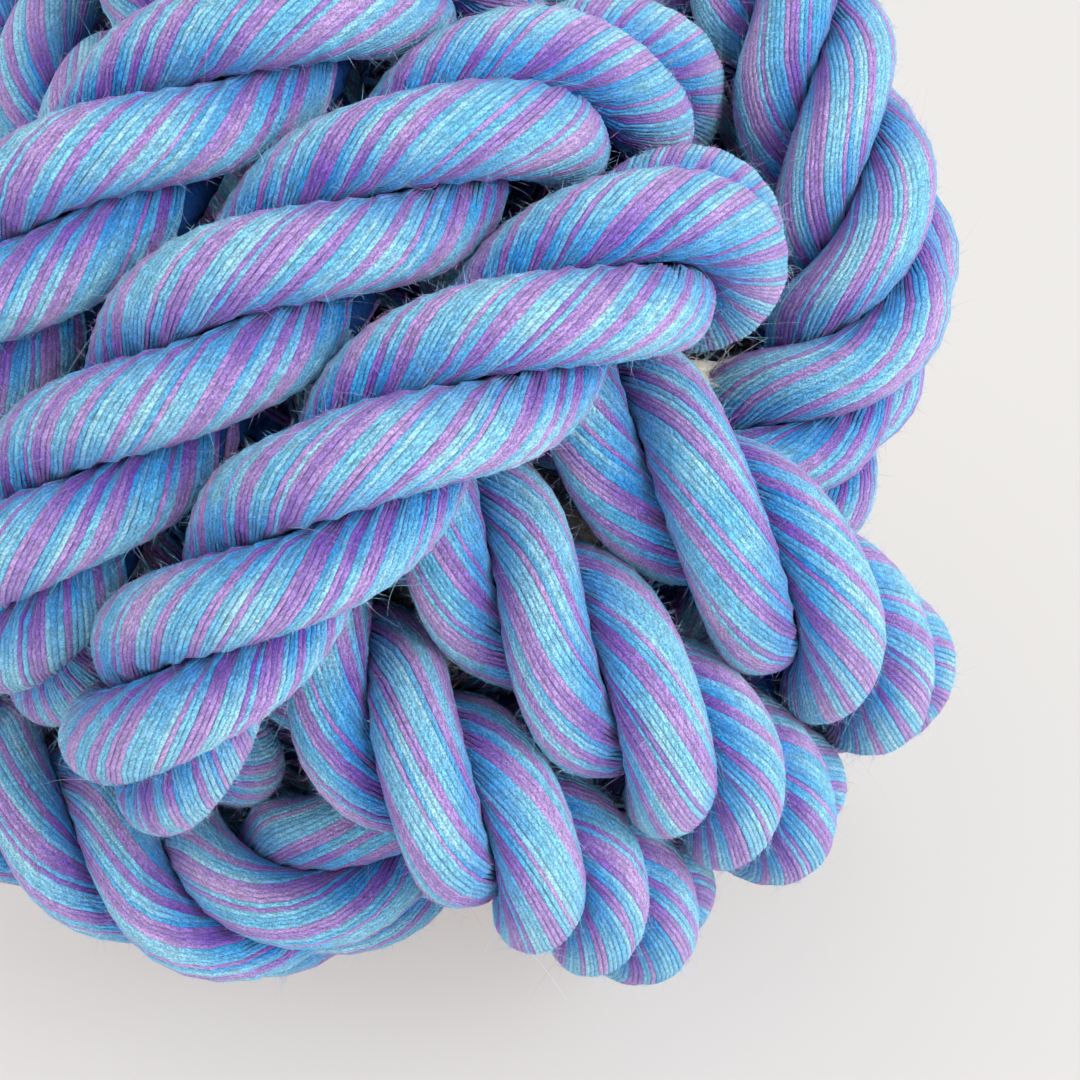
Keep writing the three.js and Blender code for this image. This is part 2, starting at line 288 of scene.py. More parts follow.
def lay_down(points):
    """The turn that puts the resting corner down and the front band to -Y. Points times it are laid."""
    down = CORNER_DOWN
    middle = points.mean(axis=0)
    for step in range(ROLL_STEPS):
        aside = points[np.argmax(points @ down)] - middle
        aside = unit(aside - aside @ down * down)
        down = unit(down - aside * ROLL * (1 - step / ROLL_STEPS) ** 2)
    up = -down
    front = unit(FRONT_BAND - FRONT_BAND @ up * up)
    front = front * np.cos(FRONT_TURN) + np.cross(up, front) * np.sin(FRONT_TURN)
    return np.stack([np.cross(-front, up), -front, up], axis=1)


knot_axes = lay_down(tight)
core_middle = np.array(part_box("core_ball")[0]) / MM + CORE / 2
path = tight @ knot_axes + core_middle
print("middle of the knot:", core_middle.round(2))

# %% [markdown]
# ## Rope, strands and yarns
#
# Three strands wind round the rope's axis to the right. In each strand the yarns wind to the left, just
# enough that on a strand's crown they run along the rope. That is what makes the fine stripes of laid rope
# stand across its lumps. A striped texture on three tubes could show the colours, but not the yarns' own
# shadows, nor how they fan out over a crown and dive into the crease, so each yarn is a thread.

# %% Frames along the rope
STRANDS = 3
LAY = 46.3  # rope in which a strand goes once round
TIGHT_LAY = 35.44  # the same for the later part of the rope, which the tying twisted tighter
TIGHT_FROM, TIGHT_OVER = 0.4341, 0.0804  # shares of the rope's length where the lay changes
LAY_START = np.radians(-19.5)  # turn of the strands at the rope's start
RING = 2.0  # rope from one ring of points to the next


def frames_along(points):
    """Axis points, and two directions across the rope that turn with it and do not spin: each normal is the
    one before it, turned by the angle between the two tangents about the axis across both."""
    steps = round(rope_length / RING)
    centres, _ = along_curve(points, np.linspace(0, 1, steps + 1))
    tangents = unit(np.gradient(centres, axis=0))
    start = np.cross(tangents[0], np.eye(3)[np.argmin(np.abs(tangents[0]))])
    normals = [unit(np.cross(tangents[0], start))]
    for before, after in zip(tangents[:-1], tangents[1:]):
        bend = np.cross(before, after)
        cos = before @ after
        n = normals[-1]
        n = n * cos + np.cross(bend, n) + bend * (bend @ n) / (1 + cos)
        normals.append(unit(n - n @ after * after))
    normals = np.array(normals)
    return centres, normals, np.cross(tangents, normals)


def strand_turn(number):
    """Turn of a strand about the axis. The lay changes evenly from one value to the other."""
    share = along / rope_length
    change = np.clip((share - TIGHT_FROM) / TIGHT_OVER, 0, 1)
    tight = rope_length * (TIGHT_OVER * change**2 / 2 + np.maximum(0, share - TIGHT_FROM - TIGHT_OVER))
    lays = (along - tight) / LAY + tight / TIGHT_LAY
    return 2 * np.pi * (lays + number / STRANDS) + LAY_START


rope_length = along_curve(path, np.zeros(1))[1]
centres, normals, binormals = frames_along(path)
along = np.linspace(0, rope_length, len(centres))
even_axis, _ = along_curve(path, np.linspace(0, 1, POINTS))
print(f"rope: {rope_length:.0f} mm in {len(centres)} rings")

# %% A strand's section
STRAND = 9.2  # diameter of a strand's round lobe
FULL_ROPE = 17.0  # the soft rope is a little fuller than its solid
STRAND_GAP = 0.2
CORNER_SOFTNESS = 10  # rounds of smoothing
SECTION_POINTS = 240


def section_outline():
    """A round lobe beside the rope's axis, cut by the two planes between it and the other strands: points at
    even steps round it, counter-clockwise from its inner edge, and the outward directions there."""
    side = np.pi / STRANDS
    lobe = STRAND / 2
    offset = FULL_ROPE / 2 - lobe
    chord = np.sqrt(lobe**2 - (offset * np.sin(side) - STRAND_GAP / 2) ** 2)
    reach = offset * np.cos(side) + chord
    flank = np.array([reach * np.cos(side), reach * np.sin(side)])
    flank += STRAND_GAP / 2 * np.array([np.sin(side), -np.cos(side)])
    opening = np.arctan2(flank[1], flank[0] - offset)
    arc = np.linspace(-opening, opening, SECTION_POINTS)
    lobe_points = np.stack([offset + lobe * np.cos(arc), lobe * np.sin(arc)], axis=1)
    apex = np.array([[STRAND_GAP / 2 / np.sin(side), 0]])
    corners = np.vstack([apex, lobe_points, apex])
    length = np.r_[0, np.cumsum(norm(np.diff(corners, axis=0), axis=1))]
    even = np.linspace(0, length[-1], SECTION_POINTS, endpoint=False)
    points = np.stack([np.interp(even, length, corners[:, k]) for k in range(2)], axis=1)
    for _ in range(CORNER_SOFTNESS):
        points = (np.roll(points, 1, axis=0) + 2 * points + np.roll(points, -1, axis=0)) / 4
    way = unit(np.roll(points, -1, axis=0) - np.roll(points, 1, axis=0))
    return points, np.stack([way[:, 1], -way[:, 0]], axis=1), length[-1]


outline, outward, girth = section_outline()
print(f"girth of a strand: {girth:.1f} mm")

# %% Paths of the yarns
YARNS = 56  # that show on one strand
YARN_TURN, LATER_TURN = 1.37, 1.05  # way that a yarn goes round its strand, for each length of rope
TURN_FROM, TURN_TO = 0.3, 0.36  # shares of the rope's length between which it changes
YARN_HALF = 0.3  # half a yarn's thickness
YARN_CROWN = 0.9  # height of a yarn over its width, at most its half thickness
YARN_OVERLAP = 1.4  # neighbours press into each other by this
SPREAD = 0.24  # how far a yarn strays to the side, as a share of its width
WIDTH_SPREAD = 0.08  # how much its width varies
STRAY_LENGTH = 7  # rope from one stray to the next
CREASE, CROWN = 5.6, 8.1  # distance from the rope's axis in a crease and on a crown
SOFT = 2.2  # height up to which the rope is pressed towards the floor


def wander(rows, size):
    """Smooth random lines, one per row: values at even steps, joined by smooth steps, and shared a little
    with the rows beside, as yarns push each other."""
    knots = int(rope_length / STRAY_LENGTH) + 2
    values = rng.normal(0, size, (rows, knots))
    place = along / STRAY_LENGTH
    i = place.astype(int)
    w = smoothstep(place - i, 0, 1)
    lines = values[:, i] * (1 - w) + values[:, i + 1] * w
    return (np.roll(lines, 1, axis=0) + 2 * lines + np.roll(lines, -1, axis=0)) / 4


def round_section(share, table):
    """Values of a table round the section, at shares of its girth."""
    place = share % 1 * SECTION_POINTS
    i = place.astype(int)
    w = (place - i)[..., None]
    return table[i] * (1 - w) + table[(i + 1) % SECTION_POINTS] * w


def in_rope(flat, turn):
    """Flat points or directions of a section as directions in space, for a strand turned so far."""
    x = flat[..., 0] * np.cos(turn) - flat[..., 1] * np.sin(turn)
    y = flat[..., 0] * np.sin(turn) + flat[..., 1] * np.cos(turn)
    return normals * x[..., None] + binormals * y[..., None]


def press_flat(points):
    """Rope pressed flat on the floor: below SOFT, a height h becomes SOFT · e^((h - SOFT) / SOFT)."""
    pressed = points.copy()
    low = SOFT * np.exp((np.minimum(points[..., 2], SOFT) - SOFT) / SOFT)
    pressed[..., 2] = np.where(points[..., 2] < SOFT, low, points[..., 2])
    return pressed


def yarn_paths(number):
    """Centre lines of a strand's yarns, the ways along and out of it, and half the widths and heights: each
    yarn goes round the section against the strand's own turning and fills the room to its neighbours."""
    turn = strand_turn(number)
    later = smoothstep(along / rope_length, TURN_FROM, TURN_TO)
    way_round = np.cumsum(YARN_TURN + (LATER_TURN - YARN_TURN) * later) * along[1]
    share = np.arange(YARNS)[:, None] / YARNS - way_round / girth + wander(YARNS, SPREAD / YARNS)
    section = round_section(share, outline - YARN_HALF * outward)
    # crown is 1 on a strand's crown and 0 in a crease; the cotton paints shade towards the creases by it.
    crown = smoothstep(norm(section, axis=2), CREASE, CROWN)
    lines = centres + in_rope(section, turn)
    ways = unit(np.gradient(lines, axis=1))
    out = unit(across(in_rope(round_section(share, outward), turn), ways))
    gap = norm(across(np.roll(lines, -1, axis=0) - lines, ways), axis=2)
    width = YARN_OVERLAP * (gap + np.roll(gap, 1, axis=0)) / 4
    width *= 1 + wander(YARNS, WIDTH_SPREAD)
    height = np.minimum(width * YARN_CROWN, YARN_HALF)
    return {"lines": lines, "ways": ways, "out": out, "width": width, "height": height, "crown": crown}


strands = [yarn_paths(number) for number in range(STRANDS)]
print("yarn widths:", [f"{2 * s['width'].min():.2f} to {2 * s['width'].max():.2f} mm" for s in strands])

# %% [markdown]
# Most of the yarn is out of sight, inside the rope or where turns lie on each other, and a mesh of it would
# be wasted. The rope and the core fill little cubes of a grid, and from each place on the rope lines of
# sight go outwards through it in many directions. Yarn shows where one of them gets out. A ray cast against
# real meshes would do the same, but far more slowly.

# %% Yarn that shows
GRID = 160  # cubes along a side of the grid, each of one millimetre
SOLID_ROPE = 7.4  # rope counts as solid up to here from its axis
SOLID_CORE = 26.0
BURIED = 4.6  # yarn nearer to the rope's axis than this lies between the strands
EYE_START = 8.2  # from the rope's axis to the start of a line of sight
LOOKS = 60  # directions of sight
SIGHT = np.arange(1.0, 70.0, 1.5)  # steps along a line of sight
BESIDE = 2  # rings before and after a ring that shows, which are made too


def cube_of(points):
    """Numbers of the cubes that points lie in."""
    return np.clip(np.floor(points - core_middle + GRID / 2), 0, GRID - 1).astype(int)


def filled_cubes():
    """Balls of cubes, set at every point of the rope's axis, and one larger ball for the core."""
    side = np.arange(GRID) + 0.5 - GRID / 2
    filled = side[:, None, None] ** 2 + side[:, None] ** 2 + side**2 < SOLID_CORE**2
    reach = np.arange(-int(SOLID_ROPE), int(SOLID_ROPE) + 1)
    ball = np.stack(np.meshgrid(reach, reach, reach), axis=-1).reshape(-1, 3)
    ball = ball[norm(ball, axis=1) < SOLID_ROPE]
    axis, _ = along_curve(path, np.linspace(0, 1, 3 * POINTS))
    filled[tuple((cube_of(axis)[:, None] + ball).reshape(-1, 3).T)] = True
    return filled


def sight_directions():
    """Directions spread evenly over a sphere: equal steps of height, with a golden-angle turn at each."""
    height = 1 - 2 * (np.arange(LOOKS) + 0.5) / LOOKS
    turn = np.arange(LOOKS) * np.pi * (3 - np.sqrt(5))
    flat = np.sqrt(1 - height**2)
    return np.stack([flat * np.cos(turn), flat * np.sin(turn), height], axis=1)


def seen_rings(lines):
    """Which rings of a strand's yarns show. Every second ring is tried, and its neighbours go with it."""
    spokes = (lines - centres)[:, ::2]
    far = norm(spokes, axis=2)
    spokes /= far[..., None]
    start = centres[::2] + EYE_START * spokes
    tried = np.zeros(far.shape, bool)
    for look in sight_directions():
        asked = np.nonzero(~tried & (far > BURIED) & (spokes @ look > 0))
        clear = np.ones(len(asked[0]), bool)
        for step in SIGHT:
            clear &= ~filled[tuple(cube_of(start[asked] + step * look).T)]
        tried[asked] = clear
    rings = lines.shape[1]
    wide = np.pad(np.repeat(tried, 2, axis=1)[:, :rings], ((0, 0), (BESIDE, BESIDE)))
    return np.any([wide[:, k : k + rings] for k in range(2 * BESIDE + 1)], axis=0)


filled = filled_cubes()
for strand in strands:
    strand["seen"] = seen_rings(strand["lines"])
print("share of yarn that shows:", [f"{strand['seen'].mean():.2f}" for strand in strands])

# %% [markdown]
# ## Threads as meshes
#
# A thread is a tube of a few sides along its path, made only where it shows and closed at its ends. A curve
# with a bevel would be shorter to write, but could not leave out what is hidden. Two UV maps go with it: one
# holds the length along the yarn and the way round it, for the fibre pattern, and the other lays all tubes
# out in rows without overlaps, for baking.

# %% Tubes
ROW = 130  # stretches of tube in one row of the layout for baking
BAKE_MARGIN = 0.15  # share of a row left empty
END_PLACE = 0.999  # where the closing faces lie in both maps


def tube_maps(tube, ring, sides, lengths):
    """UV maps of the side faces: yarn = (length along in millimetres, share of the way round), and OFBake =
    all stretches unrolled side by side, ROW of them to a row."""
    ahead = np.array([0, 0, 1, 1])
    around = (np.arange(sides)[:, None] + np.array([0, 1, 1, 0])) / sides
    length = lengths[tube[:, None], ring[:, None] + ahead]
    yarn = np.stack(np.broadcast_arrays(length[:, None], around), axis=-1)
    number = np.arange(len(tube))
    rows = -(-len(tube) // ROW)
    x = ((number % ROW)[:, None] + ahead) / ROW
    y = ((number // ROW)[:, None, None] + around * (1 - BAKE_MARGIN) + BAKE_MARGIN / 2) / rows
    return {"yarn": yarn, "OFBake": np.stack(np.broadcast_arrays(x[:, None], y), axis=-1)}


def mesh_piece(name, points, corners, starts, maps, shares, finish):
    """A piece from points in millimetres, the points at the corners of its faces, each face's first corner,
    UV maps for the corners and shares for the points."""
    mesh = bpy.data.meshes.new(name)
    mesh.vertices.add(len(points))
    mesh.vertices.foreach_set("co", (MM * points).astype(np.float32).ravel())
    mesh.loops.add(len(corners))
    mesh.loops.foreach_set("vertex_index", corners.astype(np.int32))
    mesh.polygons.add(len(starts))
    mesh.polygons.foreach_set("loop_start", starts.astype(np.int32))
    mesh.update(calc_edges=True)
    for key, values in maps.items():
        mesh.uv_layers.new(name=key).uv.foreach_set("vector", values.astype(np.float32).ravel())
    for key, values in shares.items():
        mesh.attributes.new(key, "FLOAT", "POINT").data.foreach_set("value", values.astype(np.float32))
    mesh.shade_smooth()
    mesh.materials.append(finish)
    piece = bpy.data.objects.new(name, mesh)
    scene.collection.objects.link(piece)
    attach(piece, "root")
    print(f"{name}: {len(corners) - 2 * len(starts)} triangles")
    return piece


def tube_piece(name, points, finish, tones=0.5, shown=True, crown=1.0):
    """A mesh of tubes from points: tubes by rings by sides. Each tube has a tone. shown says which stretches
    between two rings are made, and one face closes each open end. crown is 1 where a ring lies on a strand's
    crown and 0 in a crease."""
    tubes, rings, sides, _ = points.shape
    tones = np.broadcast_to(tones, tubes)
    shown = np.broadcast_to(shown, (tubes, rings - 1))
    crown = np.broadcast_to(crown, (tubes, rings))
    steps = norm(np.diff(points.mean(axis=2), axis=1), axis=2)
    lengths = np.concatenate([np.zeros((tubes, 1)), np.cumsum(steps, axis=1)], axis=1)
    number = np.arange(tubes * rings * sides).reshape(tubes, rings, sides)
    near, far = number[:, :-1], number[:, 1:]
    quads = np.stack([near, np.roll(near, -1, 2), np.roll(far, -1, 2), far], axis=-1)[shown].reshape(-1, 4)
    beside = np.pad(shown, ((0, 0), (1, 1)))
    opens = near[shown & ~beside[:, :-2]]
    closes = far[shown & ~beside[:, 2:]]
    ends = np.concatenate([opens[:, ::-1], closes])
    used, corners = np.unique(np.concatenate([quads.ravel(), ends.ravel()]), return_inverse=True)
    tube, ring = np.nonzero(shown)
    maps = tube_maps(tube, ring, sides, lengths)
    end_places = np.full((ends.size, 2), END_PLACE)
    maps = {key: np.concatenate([uv.reshape(-1, 2), end_places]) for key, uv in maps.items()}
    starts = np.concatenate([4 * np.arange(len(quads)), 4 * len(quads) + sides * np.arange(len(ends))])
    shares = {"tone": np.repeat(tones, rings), "crown": crown.ravel()}
    shares = {key: np.repeat(values, sides)[used] for key, values in shares.items()}
    return mesh_piece(name, points.reshape(-1, 3)[used], corners, starts, maps, shares, finish)


# %% [markdown]
# ## Cotton as a material
#
# Soft cotton yarn is matt, with a pale bloom of short fibres where one looks along its surface. Sheen gives
# that bloom. The fibres spiral along the yarn, and flecks of lint lie on it. Both are too small for the
# mesh, so they are bump and shade. Towards the creases between strands the colour gets a painted shade,
# darker and more saturated, and the crowns are paler, partly from wear and partly painted light. The dye
# takes unevenly, so each yarn has a tone of its own.

# %% Shader maths
class Value:
    """A number that changes over a surface. Sums and products with it add Math nodes to its finish."""

    def __init__(self, finish, socket):
        self.finish, self.socket = finish, socket

    def math(self, operation, first, second=0.0):
        return self.finish.node("Math", 0, {0: first, 1: second}, operation=operation)

    def __add__(self, other):
        return self.math("ADD", self, other)

    def __mul__(self, other):
        return self.math("MULTIPLY", self, other)

    def __sub__(self, other):
        return self.math("SUBTRACT", self, other)

    def __rsub__(self, other):
        return self.math("SUBTRACT", other, self)

    __radd__ = __add__
    __rmul__ = __mul__

    def above(self, low, high):
        """0 below low and 1 above high, in a straight line between."""
        inputs = {"Value": self, "From Min": low, "From Max": high}
        return self.finish.node("MapRange", 0, inputs, clamp=True)


class Finish:
    """A material that is built node by node."""

    def __init__(self, name, **sockets):
        self.material = bpy.data.materials.new(name)
        self.material.use_nodes = True
        self.tree = self.material.node_tree
        self.surface = self.tree.nodes["Principled BSDF"]
        self.dress(**sockets)

    def dress(self, **sockets):
        self.set(self.surface, sockets)

    def set(self, node, inputs):
        for key, value in inputs.items():
            socket = node.inputs[key.replace("_", " ") if isinstance(key, str) else key]
            if isinstance(value, Value):
                self.tree.links.new(value.socket, socket)
            else:
                socket.default_value = value

    def node(self, kind, output=0, inputs=(), **settings):
        node = self.tree.nodes.new("ShaderNode" + kind)
        for key, value in settings.items():
            setattr(node, key, value)
        self.set(node, dict(inputs))
        return Value(self, node.outputs[output])

    def mix(self, share, first, second, blend="MIX"):
        inputs = {0: share, 6: first, 7: second}
        return self.node("Mix", 2, inputs, data_type="RGBA", blend_type=blend)

    def noise(self, vector, scale, detail=2.0, roughness=0.5):
        inputs = {"Vector": vector, "Scale": scale, "Detail": detail, "Roughness": roughness}
        return self.node("TexNoise", 0, inputs)

    def bump(self, height, distance, strength):
        inputs = {"Height": height, "Distance": distance, "Strength": strength}
        self.dress(Normal=self.node("Bump", 0, inputs))


def linear(red, green, blue):
    """A colour given as it looks on a screen, 0 to 255, as linear light."""
    share = np.array([red, green, blue]) / 255
    light = np.where(share <= 0.04045, share / 12.92, ((share + 0.055) / 1.055) ** 2.4)
    return (*light.tolist(), 1.0)


# %% Dyed cotton yarn
PLY_PITCH = 3.0  # millimetres in which a yarn's fibres go once round
FIBRE_LENGTH = 0.9  # millimetres of a fibre that show
FIBRES_ROUND = 6  # fibres side by side round a yarn
FLECK_SCALE = 6000  # flecks of pale lint, per metre
STREAK_SCALE = 240  # uneven dye, per metre
FIBRE_SHADE, FLECK_SHADE = 2.0, 3.6  # weight of fibres and lint in the grain
GRAIN_FROM, GRAIN_TO = -0.35, 0.6  # where the grain is darkest and palest
GRAIN_DARKEST, GRAIN_RANGE = 0.66, 0.95  # its least brightness, and what it gains
# The crown's share makes crowns paler: partly wear, partly painted light against the painted shade in the
# creases.
TONE_WEAR, STREAK_WEAR, CROWN_WEAR_AND_SHADE, UNWORN = 0.45, 0.7, 0.3, 0.2  # what makes a yarn pale
# In a crease the colour is a painted shade; this much of the unshaded colour stays there.
CREASE_UNSHADED = 0.3  # share of the worn colour in a crease
FIBRE_RELIEF, RELIEF = 0.6, 0.0003  # fibres against lint, and the height of lint in metres
TONE_SHIFT = 90.0  # moves the fibre pattern from yarn to yarn


def dyed_cotton(name, crease_shade, deep, pale, bloom):
    """Colour goes from deep to pale with the yarn's own tone, the uneven dye, wear and painted light on the
    crowns, the fibres that spiral along the yarn and the lint on it, and turns to a darker, more saturated
    painted shade towards the creases. Fibres and lint also raise the surface."""
    finish = Finish(name, Roughness=0.95, Specular_IOR_Level=0.1)
    finish.dress(Sheen_Weight=0.6, Sheen_Roughness=0.3, Sheen_Tint=bloom)
    place = finish.node("TexCoord", 3)
    yarn = finish.node("UVMap", uv_map="yarn")
    length, around = (finish.node("SeparateXYZ", k, {0: yarn}) for k in (0, 1))
    tone, crown = (finish.node("Attribute", 2, attribute_name=key) for key in ("tone", "crown"))
    spiral = (around + length * (1 / PLY_PITCH)) * FIBRES_ROUND
    lies = finish.node("CombineXYZ", 0, {0: length * (1 / FIBRE_LENGTH), 1: spiral, 2: tone * TONE_SHIFT})
    fibre = finish.noise(lies, 1.0, detail=2.0, roughness=0.6) - 0.5
    fleck = finish.noise(place, FLECK_SCALE, detail=3.0, roughness=0.7) - 0.5
    streak = finish.noise(place, STREAK_SCALE)
    grain = (fibre * FIBRE_SHADE + fleck * FLECK_SHADE).above(GRAIN_FROM, GRAIN_TO)
    # The crown term is partly wear and partly painted light on the crowns.
    share = tone * TONE_WEAR + streak * STREAK_WEAR + crown * CROWN_WEAR_AND_SHADE - UNWORN
    worn_and_shaded = finish.mix(share.above(0.0, 1.0), deep, pale)
    # Painted shade: towards the creases the colour turns to the darker, more saturated crease colour.
    dye_and_crease_shade = finish.mix(crown * (1 - CREASE_UNSHADED) + CREASE_UNSHADED, crease_shade, worn_and_shaded)
    finish.dress(Base_Color=finish.mix(1.0, dye_and_crease_shade, grain * GRAIN_RANGE + GRAIN_DARKEST, "MULTIPLY"))
    finish.bump(fibre * FIBRE_RELIEF + fleck, RELIEF, 1.0)
    return finish.material


# The first colour of each row is painted shade for the creases between strands.
DYES = {  # in a crease, deep, worn pale, and the bloom
    "sky": [(0, 128, 208), (16, 168, 224), (166, 213, 229), (214, 236, 250)],
    "aqua": [(0, 112, 202), (0, 146, 216), (138, 203, 225), (208, 232, 250)],
    "orchid": [(78, 34, 160), (120, 82, 186), (181, 150, 206), (226, 216, 246)],
    "lilac": [(92, 44, 166), (136, 98, 192), (194, 165, 212), (230, 222, 246)],
    # The heart's colours are all dark navy: painted shade for the depth under the yarns.
    "heart": [(6, 36, 92), (10, 52, 118), (34, 84, 156), (60, 90, 140)],
}
SHADES = {key: dyed_cotton(f"{key}_cotton", *(linear(*dye) for dye in dyes)) for key, dyes in DYES.items()}
shaded_heart_cotton = SHADES.pop("heart")
print("finishes:", sorted(SHADES))

# %% [markdown]
# ## Colour order
#
# In the strands, blue and purple yarns lie side by side in runs of one to six, a little more blue than
# purple. Each yarn is one of two blues or two purples, as dye lots differ. One mesh with the colour as an
# attribute would do too, but a piece for each dye and strand keeps the pieces small.

# %% Yarn pieces
RUNS = [4, 3, 2, 1, 6, 3, 2, 2, 3, 4, 4, 1, 3, 2, 5, 2, 3, 4, 1, 1]  # blue, purple, blue and so on
SIDE_ANGLES = np.radians([-12, 55, 125, 192])  # three faces on the side that shows, one below
BLUES, PURPLES = ("sky", "aqua"), ("orchid", "lilac")


def shade_order():
    """Shade of each yarn of a strand: the runs from a random start, with a random lot for each yarn."""
    is_blue = np.roll(np.repeat(np.arange(len(RUNS)) % 2 == 0, RUNS), rng.integers(YARNS))
    lot = rng.random(YARNS) < 0.5
    return np.where(is_blue, np.where(lot, *BLUES), np.where(lot, *PURPLES))


def tubes_round(lines, sideways, out, width, height, angles):
    """Points of tubes: line + sideways · width · cos(angle) + out · height · sin(angle)."""
    side = sideways[..., None, :] * (width[..., None] * np.cos(angles))[..., None]
    top = out[..., None, :] * (height[..., None] * np.sin(angles))[..., None]
    return lines[..., None, :] + side + top


orders = [shade_order() for _ in strands]
for number, (strand, order) in enumerate(zip(strands, orders), start=1):
    lines, ways, out, width, height, crown, seen = strand.values()
    shown = seen[:, 1:] & seen[:, :-1]
    points = press_flat(tubes_round(lines, np.cross(ways, out), out, width, height, SIDE_ANGLES))
    for shade in SHADES:
        chosen = order == shade
        tones = rng.random(np.count_nonzero(chosen))
        name = f"strand_{number}_{shade}_yarns"
        piece = tube_piece(name, points[chosen], SHADES[shade], tones, shown[chosen], crown[chosen])
        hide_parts(f"strand_{number}")

# %% [markdown]
# ## Heart of each strand
#
# Under the yarns that show, a strand is filled with more yarn. Nobody would see threads there, so one plain
# tube per strand stands for them. It keeps light from passing between the threads, and its dark navy is
# painted shade for the depth under the yarns.

# %% Strand hearts
HEART_SIDES = 12
HEART_INSET = 1.15 * YARN_HALF  # below the strand's surface


def strand_heart(number):
    """The strand's section, drawn in to the middle of the yarns on it, carried along the rope."""
    share = np.linspace(0, 1, HEART_SIDES, endpoint=False)[:, None] + 0 * along
    turn = strand_turn(number)
    inner = outline - HEART_INSET * outward
    return press_flat(centres + in_rope(round_section(share, inner), turn)).transpose(1, 0, 2)[None]


for number in range(STRANDS):
    piece = tube_piece(f"strand_{number + 1}_heart", strand_heart(number), shaded_heart_cotton)
    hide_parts(f"strand_{number + 1}")

# %% [markdown]
# ## Core
#
# The wad of cotton in the middle is pressed into every space that the rope leaves, so it bulges towards the
# corners of the knot, where a bit of it peeps out. A plain ball would leave holes there, and a simulation
# would take long for the little that shows. So its surface is a radius for each direction: as far as the
# cotton would reach, but never into the rope.

# %% Core ball
CORE_ROWS, CORE_COLUMNS = 110, 200
CORE_BULGE = 14.3  # how far it would reach past its radius in a corner
ROPE_ROOM = FULL_ROPE / 2 + 0.4  # kept clear round the rope's axis
END_ROOM = FULL_ROPE / 2 + 2.0  # and round a bound end
BULGE_FROM, BULGE_TO = 0.72, 0.96  # nearness to a corner at which the bulge starts and is full
CORE_INSET = 0.3  # by which it is smaller than the solid ball, apart from the bulges
LUMPS, LUMP_FINENESS, LUMP_HEIGHT = 24, 7, 2.0  # waves that make it uneven
PHASES = 6.3  # radians, about a full turn
POLE = 0.01  # radians from a pole to the first ring
TUFT_DARK, TUFT_PALE = 0.3, 0.75  # noise at which the cotton is darkest and palest
# Painted shade: nearer the middle the core is dark navy, as it shows only in the slits between ropes.
SHADED_TO, UNSHADED_FROM = 36.5, 40.0  # distance from the middle


def clear_radius(ways):
    """Distance from the middle, along each way d, to the first rope: entry into the nearest of many balls
    along the rope's axis, p·d - sqrt(R² - (|p|² - (p·d)²))."""
    offset = even_axis - core_middle
    from_end = np.minimum(np.arange(POINTS), np.arange(POINTS)[::-1]) * rope_length / (POINTS - 1)
    room = np.where(from_end < TAIL, END_ROOM, ROPE_ROOM)
    ahead = ways @ offset.T
    inside = room**2 - (np.sum(offset**2, axis=1) - ahead**2)
    entry = ahead - np.sqrt(np.maximum(inside, 0))
    return np.where((inside > 0) & (ahead > 0), entry, np.inf).min(axis=1)


def core_points():
    """Rings from pole to pole. The cotton's own reach is the core's radius and a bulge that is largest where
    the three knot axes are equally far, with a few random waves on it."""
    polar = np.linspace(POLE, np.pi - POLE, CORE_ROWS)[:, None]
    around = np.linspace(0, 2 * np.pi, CORE_COLUMNS, endpoint=False)
    flat = np.sin(polar)
    ways = np.stack([flat * np.cos(around), flat * np.sin(around), np.cos(polar) + 0 * around], axis=-1)
    ways = ways.reshape(-1, 3)
    in_knot = ways @ knot_axes.T
    corner = np.abs(in_knot).sum(axis=1) / np.sqrt(3)
    waves = ways @ rng.normal(0, LUMP_FINENESS, (3, LUMPS)) + rng.uniform(0, PHASES, LUMPS)
    bulge = CORE_BULGE * smoothstep(corner, BULGE_FROM, BULGE_TO)
    reach = CORE / 2 - CORE_INSET + bulge + LUMP_HEIGHT * np.sin(waves).mean(axis=1)
    radius = np.minimum(reach, clear_radius(ways))
    return (core_middle + radius[:, None] * ways).reshape(1, CORE_ROWS, CORE_COLUMNS, 3)


def plain_cotton(name, deep, pale, scale, slit_shade=None):
    """Undyed cotton: cream with paler and darker tufts. The dark colour, if given, is painted shade for the
    slits between the ropes, all over but for the tufts that stand out in the corners."""
    finish = Finish(name, Roughness=0.95, Sheen_Weight=0.5, Sheen_Tint=linear(250, 245, 235))
    place = finish.node("TexCoord", 3)
    tufts = finish.noise(place, scale, detail=5.0, roughness=0.65)
    colour = finish.mix(tufts.above(TUFT_DARK, TUFT_PALE), deep, pale)
    if slit_shade:
        ends = {0: place, 1: tuple(MM * core_middle)}
        radius = finish.node("VectorMath", 1, ends, operation="DISTANCE")
        # Painted shade for the slits: dark navy nearer the middle, cream further out.
        colour = finish.mix(radius.above(MM * SHADED_TO, MM * UNSHADED_FROM), slit_shade, colour)
    finish.dress(Base_Color=colour)
    finish.bump(tufts, distance=0.001, strength=0.8)
    return finish.material


# Its dark navy is painted shade for the slits between the ropes.
cream_cotton = plain_cotton(
    "cream_cotton", linear(138, 130, 112), linear(214, 206, 188), 520, slit_shade=linear(28, 40, 84)
)
core_surface = core_points()
core_ball = tube_piece("core_wad", core_surface, cream_cotton)
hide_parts("core_ball")

# %% [markdown]
# ## Whippings
#
# Both ends of the rope are bound with thin twine, so that the strands do not open. A ridged ring could stand
# for it, but one end can be seen from behind, so each binding is one tube wound in touching turns.

# %% Whippings
TWINE = 1.2  # thickness
WHIPPING = 6.0  # length bound
END = 2.0  # rope that stands out of the binding
TWINE_GAP = 0.3
TWINE_SIDES = 8
TWINE_FULLNESS = 0.98  # keeps the turns from sharing faces
TURN_POINTS = 28


